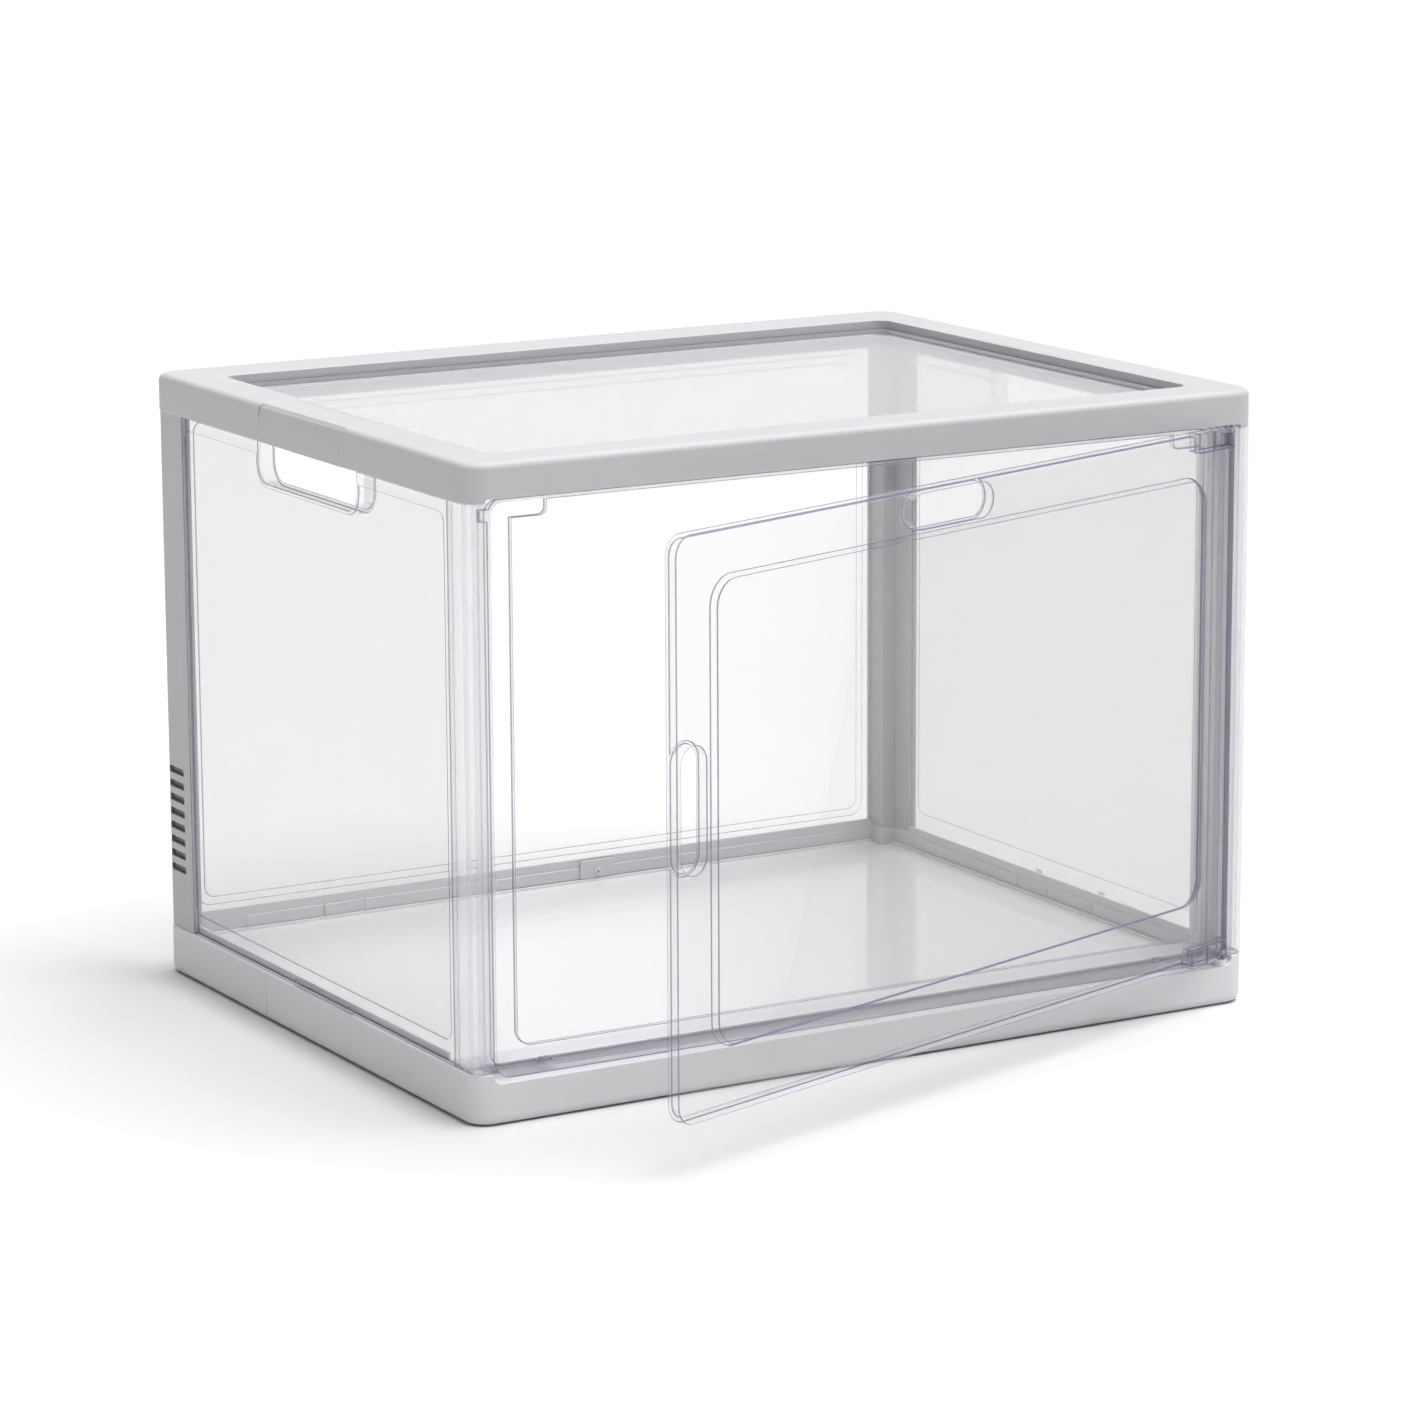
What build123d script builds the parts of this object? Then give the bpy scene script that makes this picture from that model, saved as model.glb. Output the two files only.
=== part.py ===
from build123d import *
import os

# Clear stackable shoe box with a side-hinged front door.
# Millimetres, +Z up, front towards -Y, origin in the middle of the underside.

# --- overall box ---
LENGTH = 360.0  # along X
DEPTH = 280.0  # along Y
HEIGHT = 255.0
CORNER_RADIUS = 10.0
BASE_HEIGHT = 20.5
TOP_HEIGHT = 15.5
RIM_WIDTH = 4.8  # side and rear walls of the base
SEAM = 0.15  # visible joint line between fixed mouldings

# --- base tray and floor ---
BASE_FOOT_FILLET = 4.0
EDGE_FILLET = 0.8
SILL_DROP = 3.9  # front rail under the door, down from the top of the base
SILL_CORNER = 4.0
FRONT_RAIL = 28.0
TRAY_WEB = 2.5
FLOOR_SEAT = 11.0  # top of the ribs that carry the floor sheet
FLOOR_THICKNESS = 2.0
FLOOR_BEAD = 1.3
RIB_COUNT = 5
RIB_WIDTH = 2.0
TRAY_CORNER = 2.0
FOOT_WALL = 5.5
CHANNEL_WALL = 2.2
CHANNEL_TOP = 2.6
LIP_HEIGHT = 3.0  # lip inside the foot of each clear wall
PAD_THICKNESS = 0.6
PAD_HEAD = 1.0  # pads stop this far below the top of the base
# Pads: start and end as shares of the box's length or depth, then steps of thickness.
REAR_PADS = ((0.098, 0.197, 1.0), (0.201, 0.229, 1.8), (0.232, 0.252, 0.5), (0.255, 0.935, 1.0))
SIDE_PADS = ((0.11, 0.377, 1.0), (0.382, 0.502, 1.0), (0.507, 0.584, 1.0), (0.589, 0.875, 1.0))
GROOVE = 0.5
GROOVE_FROM_MIDDLE = 42.0

# --- top frame and window ---
TOP_EDGE_FILLET = 3.0
FRAME_WALL = 2.6
FRAME_DECK = 2.8
WINDOW_SIDE_RAIL = 20.0
WINDOW_FRONT_RAIL = 20.0
WINDOW_REAR_RAIL = 28.0
WINDOW_CORNER = 6.0
WINDOW_RECESS = 3.5
WINDOW_THICKNESS = 2.4
WINDOW_LEDGE = 4.0
LEDGE_THICKNESS = 2.2
INNER_SKIRT = 4.0
DOOR_NOTCH = 1.6

# --- grip caps ---
GRIP_LENGTH = 76.0
GRIP_BREAK = 7.0  # height below the top where the outer face starts to lean in
GRIP_LEAN = 1.2
GRIP_EDGE_CHAMFER = 0.4

# --- walls and posts ---
WALL_INSET = 1.2  # posts and clear walls stand in from the frame faces
SHEET = 2.4
BEZEL_STEP = 0.5
BEZEL_CORNER = 4.5
BEZEL_BOTTOM = 9.5
BEZEL_TOP = 5.5
BEZEL_SIDE = 3.2
REAR_BEZEL_SIDE = 3.4
REAR_BEZEL_BOTTOM = 5.0
REAR_BEZEL_TOP = 3.5
REAR_BEZEL_BAND = 3.4

FRONT_POST_WIDTH = 7.3
FRONT_POST_DEPTH = 10.3
FRONT_POST_LEG = 16.3
FRONT_POST_WALL = 1.7
FRONT_POST_CORNER = 5.0

REAR_POST_WIDTH = 9.8
REAR_POST_DEPTH = 12.2
REAR_POST_LEG = 24.8
REAR_POST_LEG_THICKNESS = 3.0
REAR_POST_WALL = 2.0
REAR_POST_CORNER = 6.0

VENT_COUNT = 8
VENT_PITCH = 6.0
VENT_HEIGHT = 3.0
VENT_LENGTH = 15.0
VENT_DEPTH = 2.4
VENT_LOWEST = 24.0  # first slot above the base
VENT_FROM_REAR = 4.5

JAMB_WIDTH = 6.9
JAMB_DEPTH = 16.0
JAMB_FROM_FRONT = 12.0
JAMB_WALL = 1.8

# --- hand holes in the side walls ---
HAND_HOLE_LENGTH = 88.0
HAND_HOLE_HEIGHT = 16.5
HAND_HOLE_CORNER = 8.0
HAND_HOLE_FROM_MIDDLE = -3.0
HAND_LIP_WALL = 1.8
HAND_LIP_DEPTH = 5.5

# --- front frame behind the door ---
DOOR_GAP = 0.5  # behind the closed door
PLATE_THICKNESS = 2.6
PLATE_FLANGE_DEPTH = 8.0
PLATE_FLANGE_WALL = 3.0
PLATE_MARGIN = 11.8
PLATE_CORNER = 8.0
OPENING_MARGIN = 22.5
OPENING_SILL = 8.0  # opening starts this far above the top of the base
OPENING_CORNER = 6.0
TAB_WIDTH = 15.0
TAB_DROP = 6.0
TAB_CORNER = 3.0
LUG_HEIGHT = 5.0
LUG_DROP = 3.0
CLIP_WIDTH = 3.8
CLIP_HEIGHT = 4.2
CLIP_FROM_SIDE = 35.0

# --- door ---
DOOR_THICKNESS = 5.5
DOOR_HINGE_MARGIN = 10.0  # hinge-side edge, in from the frame's right face
DOOR_FREE_MARGIN = 16.0
DOOR_FOOT = 0.5  # above the top of the base
DOOR_HEAD_GAP = 0.9  # below the notch in the top frame
DOOR_SHEET = 2.4
DOOR_RIM = 2.2
DOOR_CORNER = 8.0
DOOR_HINGE_CORNER = 3.5
DOOR_REST_ANGLE = 17.5  # the door stands this far open

FIELD_FREE_MARGIN = 22.7
FIELD_HINGE_MARGIN = 20.4
FIELD_TOP_MARGIN = 19.2
FIELD_BOTTOM_MARGIN = 26.0
FIELD_CORNER = 10.0
FIELD_STEP = 1.0
FIELD_BAND = 1.6

SLOT_LENGTH = 48.0
SLOT_WIDTH = 13.6
SLOT_LIP = 1.5
SIDE_SLOT_INSET = 9.2  # centre line, in from the free edge
SIDE_SLOT_HEIGHT = 117.5  # centre, above the foot of the door
TOP_SLOT_INSET = 8.9  # centre line, down from the head of the door
TOP_SLOT_ALONG = 154.8  # centre, in from the free edge

# --- door pivots ---
PIVOT_LENGTH = 25.0
PIVOT_HEIGHT = 8.0
PIVOT_DROP = 1.5  # lower block stands below the door's foot
PIVOT_GROOVE = 0.6
PIN_RADIUS = 1.6
PIN_LENGTH = 4.5
PIN_CLEARANCE = 0.07
PIN_END_GAP = 0.5
PIVOT_REST_GAP = 0.3

# --- small clips ---
SNAP_LENGTH = 52.0
SNAP_FROM_MIDDLE = -10.0
SNAP_HEIGHT = 1.6
SNAP_THICKNESS = 0.8
SNAP_HOOK = 4.0
SNAP_HOOK_HEIGHT = 3.2
LOCK_TAB_WIDTH = 17.3
LOCK_TAB_HEIGHT = 8.2
LOCK_TAB_THICKNESS = 0.8
LOCK_TAB_FROM_MIDDLE = 25.7
LOCK_BOSS_RADIUS = 1.7
LOCK_BOSS_HEIGHT = 0.7

# --- places worked out from the sizes above ---
LEFT, RIGHT = -LENGTH / 2, LENGTH / 2
FRONT, REAR = -DEPTH / 2, DEPTH / 2
WALL_TOP = HEIGHT - TOP_HEIGHT
NOTCH_Z = WALL_TOP + DOOR_NOTCH
FLOOR_Z = FLOOR_SEAT + FLOOR_THICKNESS
NOTCH_HALF = LENGTH / 2 - WALL_INSET - FRONT_POST_WIDTH
RIM_REAR = REAR - RIM_WIDTH
LIP_INSET = WALL_INSET + SHEET + SEAM
PANEL_FRONT = FRONT + WALL_INSET + FRONT_POST_LEG + SEAM
PANEL_REAR = REAR - WALL_INSET - REAR_POST_LEG - SEAM
SILL_HEIGHT = BASE_HEIGHT - SILL_DROP
PLATE_FRONT = FRONT + DOOR_THICKNESS + DOOR_GAP
PLATE_BACK = PLATE_FRONT + PLATE_THICKNESS
FLANGE_BACK = PLATE_FRONT + PLATE_FLANGE_DEPTH
OPENING_LOW = BASE_HEIGHT + OPENING_SILL
OPENING_HIGH = NOTCH_Z - PLATE_FLANGE_WALL
DOOR_LOW = BASE_HEIGHT + DOOR_FOOT
DOOR_HIGH = NOTCH_Z - DOOR_HEAD_GAP
DOOR_FREE_X = LEFT + DOOR_FREE_MARGIN
DOOR_HINGE_X = RIGHT - DOOR_HINGE_MARGIN
PIVOT_X = DOOR_HINGE_X - DOOR_THICKNESS / 2
PIVOT_Y = FRONT + DOOR_THICKNESS / 2
PIVOT_LOW = DOOR_LOW - PIVOT_DROP


def block(x, y, z):
    """Box between the given (low, high) pairs."""
    size = Box(x[1] - x[0], y[1] - y[0], z[1] - z[0])
    return Pos((x[0] + x[1]) / 2, (y[0] + y[1]) / 2, (z[0] + z[1]) / 2) * size


def flat_slab(x, y, z, radius):
    """Slab with rounded corners in plan."""
    outline = RectangleRounded(x[1] - x[0], y[1] - y[0], radius)
    base = Pos((x[0] + x[1]) / 2, (y[0] + y[1]) / 2, z[0])
    return extrude(base * outline, amount=z[1] - z[0])


def front_slab(x, y, z, radius):
    """Slab with rounded corners as seen from the front."""
    outline = RectangleRounded(x[1] - x[0], z[1] - z[0], radius)
    middle = ((x[0] + x[1]) / 2, y[1], (z[0] + z[1]) / 2)
    return extrude(Plane(middle, x_dir=(1, 0, 0), z_dir=(0, -1, 0)) * outline, amount=y[1] - y[0])


def side_slab(x, y, z, radius):
    """Slab with rounded corners as seen from the side."""
    outline = RectangleRounded(y[1] - y[0], z[1] - z[0], radius)
    middle = (x[0], (y[0] + y[1]) / 2, (z[0] + z[1]) / 2)
    return extrude(Plane(middle, x_dir=(0, 1, 0), z_dir=(1, 0, 0)) * outline, amount=x[1] - x[0])


def upright_pin(x, y, z, radius):
    """Round bar standing along Z."""
    return Pos(x, y, z[0]) * Cylinder(radius, z[1] - z[0], align=(Align.CENTER, Align.CENTER, Align.MIN))


def edges_at(part, height):
    """Edges that lie flat at one height."""
    return [e for e in part.edges() if abs(e.bounding_box().min.Z - height) < 1e-4
            and abs(e.bounding_box().max.Z - height) < 1e-4]


def window_plan(grow):
    """X and Y spans of the window opening, grown by an amount on each side."""
    x = (LEFT + WINDOW_SIDE_RAIL - grow, RIGHT - WINDOW_SIDE_RAIL + grow)
    y = (FRONT + WINDOW_FRONT_RAIL - grow, REAR - WINDOW_REAR_RAIL + grow)
    return x, y


def tray_plan(grow):
    """X and Y spans of the tray's floor pocket, grown by an amount on each side."""
    x = (LEFT + RIM_WIDTH - grow, RIGHT - RIM_WIDTH + grow)
    y = (FRONT + FRONT_RAIL - grow, RIM_REAR + grow)
    return x, y


def corner_blocks(gap):
    """Blocks in the rear corners of the tray that carry the rear posts, grown by a gap."""
    inner = LENGTH / 2 - WALL_INSET - REAR_POST_WIDTH - gap
    y = (REAR - WALL_INSET - REAR_POST_DEPTH - gap, REAR)
    return [block(sorted((side * inner, side * LENGTH / 2)), y, (0, BASE_HEIGHT)) for side in (-1, 1)]


def base_tray():
    """Grey base: rim, sill notch under the door, ribbed floor web and hollow front rail."""
    tray = flat_slab((LEFT, RIGHT), (FRONT, REAR), (0, BASE_HEIGHT), CORNER_RADIUS)
    tray = fillet(edges_at(tray, 0), BASE_FOOT_FILLET)
    tray = fillet(edges_at(tray, BASE_HEIGHT), EDGE_FILLET)
    notch_z = (SILL_HEIGHT, BASE_HEIGHT + 2 * SILL_CORNER)
    tray -= front_slab((-NOTCH_HALF, NOTCH_HALF), (FRONT - 1, FLANGE_BACK + SEAM), notch_z, SILL_CORNER)
    pocket = flat_slab(*tray_plan(0), (TRAY_WEB, BASE_HEIGHT + 1), TRAY_CORNER)
    tray -= pocket - corner_blocks(0)
    tray -= block((LEFT + RIM_WIDTH, RIGHT - RIM_WIDTH), (FRONT + FOOT_WALL, FRONT + FRONT_RAIL - CHANNEL_WALL),
                  (-1, SILL_HEIGHT - CHANNEL_TOP))
    tray += floor_ribs() + rim_lips() + rim_pads()
    for side in (-1, 1):
        x = sorted((side * (LENGTH / 2 - GROOVE), side * (LENGTH / 2 + 1)))
        tray -= block(x, (GROOVE_FROM_MIDDLE - GROOVE / 2, GROOVE_FROM_MIDDLE + GROOVE / 2), (-1, BASE_HEIGHT + 1))
    # Pivot boss with the lower bearing bore.
    boss_top = PIVOT_LOW - PIVOT_REST_GAP
    tray += upright_pin(PIVOT_X, PIVOT_Y, (FLOOR_SEAT, boss_top), DOOR_THICKNESS / 2 - PIN_CLEARANCE)
    bore_z = (PIVOT_LOW - PIN_LENGTH - PIN_END_GAP, boss_top + 1)
    return tray - upright_pin(PIVOT_X, PIVOT_Y, bore_z, PIN_RADIUS + PIN_CLEARANCE)


def floor_ribs():
    """Ribs across the tray that carry the floor sheet."""
    x, y = tray_plan(RIM_WIDTH / 4)
    pitch = (y[1] - y[0]) / (RIB_COUNT + 1)
    middles = [y[0] + pitch * (row + 1) for row in range(RIB_COUNT)]
    return [block(x, (at - RIB_WIDTH / 2, at + RIB_WIDTH / 2), (TRAY_WEB, FLOOR_SEAT)) for at in middles]


def rim_lips():
    """Lips that stand inside the foot of the side and rear walls."""
    z = (BASE_HEIGHT - 1, BASE_HEIGHT + LIP_HEIGHT)
    y = (FRONT + FRONT_RAIL + SEAM, PANEL_REAR)
    lips = [block(sorted((side * (LENGTH / 2 - RIM_WIDTH), side * (LENGTH / 2 - LIP_INSET))), y, z)
            for side in (-1, 1)]
    half = LENGTH / 2 - WALL_INSET - REAR_POST_WIDTH - SEAM
    lips.append(block((-half, half), (RIM_REAR, REAR - LIP_INSET), z))
    return [fillet(edges_at(lip, z[1]), (RIM_WIDTH - LIP_INSET) / 3) for lip in lips]


def rim_pads():
    """Shallow pads on the inner faces of the rim."""
    z = (FLOOR_Z + FLOOR_BEAD + SEAM, BASE_HEIGHT - PAD_HEAD)
    root = RIM_WIDTH / 4
    pads = []
    for start, end, steps in REAR_PADS:
        y = (RIM_REAR - PAD_THICKNESS * steps, RIM_REAR + root)
        pads.append(block((LEFT + start * LENGTH, LEFT + end * LENGTH), y, z))
    inner = LENGTH / 2 - RIM_WIDTH
    for start, end, steps in SIDE_PADS:
        for side in (-1, 1):
            x = sorted((side * (inner - PAD_THICKNESS * steps), side * (inner + root)))
            pads.append(block(x, (FRONT + start * DEPTH, FRONT + end * DEPTH), z))
    return pads


def floor_panel():
    """Glossy sheet lying in the tray, with a raised edge."""
    sheet = flat_slab(*tray_plan(-SEAM), (FLOOR_SEAT, FLOOR_Z + FLOOR_BEAD), TRAY_CORNER - SEAM)
    sheet -= flat_slab(*tray_plan(-SEAM - FLOOR_BEAD), (FLOOR_Z, FLOOR_Z + 2 * FLOOR_BEAD), TRAY_CORNER)
    return sheet - corner_blocks(SEAM)


def grip_bay(side, gap):
    """Space of one grip cap in the side rail, drawn in by a gap."""
    x = sorted((side * (LENGTH / 2 + 1), side * (LENGTH / 2 - WINDOW_SIDE_RAIL + FRAME_WALL + gap)))
    return block(x, (gap - GRIP_LENGTH / 2, GRIP_LENGTH / 2 - gap), (WALL_TOP - 1, HEIGHT + 1))


def top_frame():
    """Grey ring with the window ledge, a hollow underside and the door notch."""
    ring = flat_slab((LEFT, RIGHT), (FRONT, REAR), (WALL_TOP, HEIGHT), CORNER_RADIUS)
    ring = fillet(edges_at(ring, HEIGHT), TOP_EDGE_FILLET)
    ring = fillet(edges_at(ring, WALL_TOP), EDGE_FILLET)
    seat = HEIGHT - WINDOW_RECESS - WINDOW_THICKNESS
    inner_foot = seat - LEDGE_THICKNESS - INNER_SKIRT
    ring -= flat_slab(*window_plan(0), (seat, HEIGHT + 1), WINDOW_CORNER)
    ring -= flat_slab(*window_plan(-WINDOW_LEDGE), (WALL_TOP - 1, HEIGHT), WINDOW_CORNER)
    ring -= flat_slab(*window_plan(0), (WALL_TOP - 1, seat - LEDGE_THICKNESS), WINDOW_CORNER)
    ring -= flat_slab(*window_plan(FRAME_WALL + 1), (WALL_TOP - 1, inner_foot), WINDOW_CORNER)
    channel_z = (WALL_TOP - 1, HEIGHT - FRAME_DECK)
    channel = flat_slab((LEFT + FRAME_WALL, RIGHT - FRAME_WALL), (FRONT + FRAME_WALL, REAR - FRAME_WALL),
                        channel_z, CORNER_RADIUS - FRAME_WALL)
    channel -= flat_slab(*window_plan(FRAME_WALL), channel_z, WINDOW_CORNER + FRAME_WALL)
    # The rail stays solid over the front frame, with a boss for the upper bearing bore.
    channel -= block((-NOTCH_HALF - 1, NOTCH_HALF + 1), (FRONT, FLANGE_BACK), (WALL_TOP - 1, NOTCH_Z + FRAME_DECK))
    bore_z = (NOTCH_Z - 1, DOOR_HIGH + PIN_LENGTH + PIN_END_GAP)
    boss = upright_pin(PIVOT_X, PIVOT_Y, (NOTCH_Z, bore_z[1] + FRAME_WALL), PIN_RADIUS + FRAME_WALL)
    ring -= channel - boss
    ring -= front_slab((-NOTCH_HALF, NOTCH_HALF), (FRONT - 1, FLANGE_BACK), (WALL_TOP - 2 * SILL_CORNER, NOTCH_Z),
                       DOOR_NOTCH / 2)
    for side in (-1, 1):
        ring -= grip_bay(side, 0)
    return ring - upright_pin(PIVOT_X, PIVOT_Y, bore_z, PIN_RADIUS + PIN_CLEARANCE)


def grip_cap(side):
    """Middle segment of a side rail, hollow, leaning in above a break line."""
    outer, inner = LENGTH / 2, LENGTH / 2 - WINDOW_SIDE_RAIL + FRAME_WALL + SEAM
    lean = outer - GRIP_LEAN
    profile = [(outer, WALL_TOP), (outer, HEIGHT - GRIP_BREAK), (lean, HEIGHT - TOP_EDGE_FILLET / 2),
               (lean - TOP_EDGE_FILLET / 2, HEIGHT), (inner, HEIGHT), (inner, WALL_TOP + FRAME_DECK),
               (inner + FRAME_WALL, WALL_TOP + FRAME_DECK), (inner + FRAME_WALL, HEIGHT - FRAME_DECK),
               (lean - FRAME_WALL, HEIGHT - FRAME_DECK), (outer - FRAME_WALL, HEIGHT - GRIP_BREAK),
               (outer - FRAME_WALL, WALL_TOP)]
    length = GRIP_LENGTH - 2 * SEAM
    face = Plane((0, length / 2, 0), x_dir=(1, 0, 0), z_dir=(0, -1, 0)) * make_face(Polyline(*profile, close=True))
    cap = extrude(face, amount=length)
    ends = [e for e in cap.edges() if abs(abs(e.center().Y) - length / 2) < 1e-4
            and e.bounding_box().max.X > lean - TOP_EDGE_FILLET / 2 - 1e-4
            and e.bounding_box().min.X > outer - FRAME_WALL + 1e-4 and e.length > 1.0]
    cap = chamfer(ends, GRIP_EDGE_CHAMFER)
    return cap if side > 0 else mirror(cap, about=Plane.YZ)


def top_window():
    """Clear sheet resting on the ledge of the top frame."""
    seat = HEIGHT - WINDOW_RECESS - WINDOW_THICKNESS
    return flat_slab(*window_plan(-SEAM), (seat, seat + WINDOW_THICKNESS), WINDOW_CORNER - SEAM)


def rear_post(side):
    """Hollow grey corner post with a thin side leg and vent slots."""
    z = (BASE_HEIGHT, WALL_TOP)
    face_x, face_y = LEFT + WALL_INSET, REAR - WALL_INSET
    post = block((face_x, face_x + REAR_POST_WIDTH), (face_y - REAR_POST_DEPTH, face_y), z)
    corner = [e for e in post.edges().filter_by(Axis.Z)
              if abs(e.center().X - face_x) < 1e-4 and abs(e.center().Y - face_y) < 1e-4]
    post = fillet(corner, REAR_POST_CORNER)
    post += block((face_x, face_x + REAR_POST_LEG_THICKNESS), (face_y - REAR_POST_LEG, face_y - REAR_POST_DEPTH), z)
    wall = REAR_POST_WALL
    post -= flat_slab((face_x + wall, face_x + REAR_POST_WIDTH - wall), (face_y - REAR_POST_DEPTH + wall, face_y - wall),
                      z, REAR_POST_WALL)
    y = (REAR - VENT_FROM_REAR - VENT_LENGTH, REAR - VENT_FROM_REAR)
    for row in range(VENT_COUNT):
        low = BASE_HEIGHT + VENT_LOWEST + row * VENT_PITCH
        post -= side_slab((face_x - 1, face_x + VENT_DEPTH), y, (low, low + VENT_HEIGHT), VENT_HEIGHT / 5)
    return post if side < 0 else mirror(post, about=Plane.YZ)


def front_post(side):
    """Clear hollow corner post with a leg that meets the side wall."""
    z = (BASE_HEIGHT, WALL_TOP)
    face_x, face_y = LEFT + WALL_INSET, FRONT + WALL_INSET
    post = block((face_x, face_x + FRONT_POST_WIDTH), (face_y, face_y + FRONT_POST_DEPTH), z)
    corner = [e for e in post.edges().filter_by(Axis.Z)
              if abs(e.center().X - face_x) < 1e-4 and abs(e.center().Y - face_y) < 1e-4]
    post = fillet(corner, FRONT_POST_CORNER)
    post += block((face_x, face_x + SHEET), (face_y + FRONT_POST_DEPTH, face_y + FRONT_POST_LEG), z)
    wall = FRONT_POST_WALL
    hollow = block((face_x + wall, face_x + FRONT_POST_WIDTH - wall),
                   (face_y + wall, face_y + FRONT_POST_DEPTH - wall), z)
    corner = [e for e in hollow.edges().filter_by(Axis.Z)
              if abs(e.center().X - face_x - wall) < 1e-4 and abs(e.center().Y - face_y - wall) < 1e-4]
    post -= fillet(corner, FRONT_POST_CORNER - wall)
    return post if side < 0 else mirror(post, about=Plane.YZ)


def hinge_jamb():
    """Grey hollow strip that stiffens the hinge-side corner."""
    z = (BASE_HEIGHT, WALL_TOP)
    outer = RIGHT - WALL_INSET - SHEET - SEAM
    y = (FRONT + JAMB_FROM_FRONT, FRONT + JAMB_FROM_FRONT + JAMB_DEPTH)
    strip = flat_slab((outer - JAMB_WIDTH, outer), y, z, EDGE_FILLET)
    inner_x = (outer - JAMB_WIDTH + JAMB_WALL, outer - JAMB_WALL)
    return strip - flat_slab(inner_x, (y[0] + JAMB_WALL, y[1] - JAMB_WALL), z, EDGE_FILLET)


def hand_hole(grow, x):
    """Rounded hand hole outline, grown by an amount, running up past the wall."""
    y = (HAND_HOLE_FROM_MIDDLE - HAND_HOLE_LENGTH / 2 - grow, HAND_HOLE_FROM_MIDDLE + HAND_HOLE_LENGTH / 2 + grow)
    low = WALL_TOP - HAND_HOLE_HEIGHT - grow
    return side_slab(x, y, (low, WALL_TOP + 3 * HAND_HOLE_CORNER), HAND_HOLE_CORNER + grow)


def side_panel(side):
    """Clear side wall with a stepped border and a lipped hand hole."""
    face = LEFT + WALL_INSET
    y = (PANEL_FRONT, PANEL_REAR)
    wall = block((face, face + SHEET), y, (BASE_HEIGHT, WALL_TOP))
    lip = hand_hole(HAND_LIP_WALL, (face, face + SHEET + HAND_LIP_DEPTH))
    wall += lip & block((face, RIGHT), y, (BASE_HEIGHT, WALL_TOP))
    border_y = (y[0] + BEZEL_SIDE, y[1] - BEZEL_SIDE)
    border_z = (BASE_HEIGHT + BEZEL_BOTTOM, WALL_TOP - BEZEL_TOP)
    border = side_slab((face - 1, face + BEZEL_STEP), border_y, border_z, BEZEL_CORNER)
    border -= hand_hole(HAND_LIP_WALL, (face - 1, face + SHEET))
    wall -= border
    wall -= hand_hole(0, (face - 1, face + SHEET + HAND_LIP_DEPTH + 1))
    return wall if side < 0 else mirror(wall, about=Plane.YZ)


def rear_panel():
    """Clear rear wall between the two grey posts."""
    half = LENGTH / 2 - WALL_INSET - REAR_POST_WIDTH - SEAM
    face = REAR - WALL_INSET
    wall = block((-half, half), (face - SHEET, face), (BASE_HEIGHT, WALL_TOP))
    x = (-half + REAR_BEZEL_SIDE, half - REAR_BEZEL_SIDE)
    z = (BASE_HEIGHT + REAR_BEZEL_BOTTOM, WALL_TOP - REAR_BEZEL_TOP)
    wall -= front_slab(x, (face - BEZEL_STEP, face + 1), z, BEZEL_CORNER + REAR_BEZEL_BAND / 2)
    band = REAR_BEZEL_BAND
    x = (x[0] + band, x[1] - band)
    return wall - front_slab(x, (face - 2 * BEZEL_STEP, face + 1), (z[0] + band, z[1] - band), BEZEL_CORNER)


def clip_box(side, gap):
    """Space of one small clip at the foot of the front frame, grown by a gap."""
    middle = side * (LENGTH / 2 - CLIP_FROM_SIDE - CLIP_WIDTH / 2)
    x = (middle - CLIP_WIDTH / 2 - gap, middle + CLIP_WIDTH / 2 + gap)
    return block(x, (PLATE_BACK + SEAM - gap, FLANGE_BACK - SEAM + gap), (SILL_HEIGHT, SILL_HEIGHT + CLIP_HEIGHT + gap))


def front_frame():
    """Clear plate behind the door: rim flange, opening, corner tabs and side lugs."""
    half = LENGTH / 2 - PLATE_MARGIN
    wall = PLATE_FLANGE_WALL
    plate = front_slab((-half, half), (PLATE_FRONT, FLANGE_BACK), (SILL_HEIGHT, NOTCH_Z), PLATE_CORNER)
    plate -= front_slab((-half + wall, half - wall), (PLATE_BACK, FLANGE_BACK + 1),
                        (SILL_HEIGHT + wall, NOTCH_Z - wall), PLATE_CORNER - wall)
    open_half = LENGTH / 2 - OPENING_MARGIN
    plate -= front_slab((-open_half, open_half), (PLATE_FRONT - 1, PLATE_BACK + 1), (OPENING_LOW, OPENING_HIGH),
                        OPENING_CORNER)
    for side in (-1, 1):
        tab_x = sorted((side * (open_half - TAB_WIDTH), side * (open_half + TAB_CORNER)))
        plate += front_slab(tab_x, (PLATE_FRONT, PLATE_BACK), (OPENING_HIGH - TAB_DROP, OPENING_HIGH + wall - 0.1),
                            TAB_CORNER)
        lug_x = sorted((side * (NOTCH_HALF - SEAM), side * (half - wall)))
        lug_top = WALL_TOP - LUG_DROP
        plate += block(lug_x, (PLATE_FRONT, PLATE_BACK), (lug_top - LUG_HEIGHT, lug_top))
        plate -= clip_box(side, SEAM)
    return plate


def frame_clips():
    """Two clear blocks that hold the foot of the front frame to the sill."""
    return Compound(children=[clip_box(side, 0) for side in (-1, 1)])


def door_capsule(z):
    """Door thickness in plan with a full round around the pivot axis."""
    plate = block((DOOR_FREE_X - 1, PIVOT_X), (FRONT, FRONT + DOOR_THICKNESS), z)
    return plate + upright_pin(PIVOT_X, PIVOT_Y, z, DOOR_THICKNESS / 2)


def pivot_box(low, high, gap):
    """Space of one pivot block, grown by a gap on the sides that meet the door."""
    return block((DOOR_HINGE_X - PIVOT_LENGTH - gap, RIGHT), (FRONT - 1, FRONT + DOOR_THICKNESS + 1), (low, high))


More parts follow.
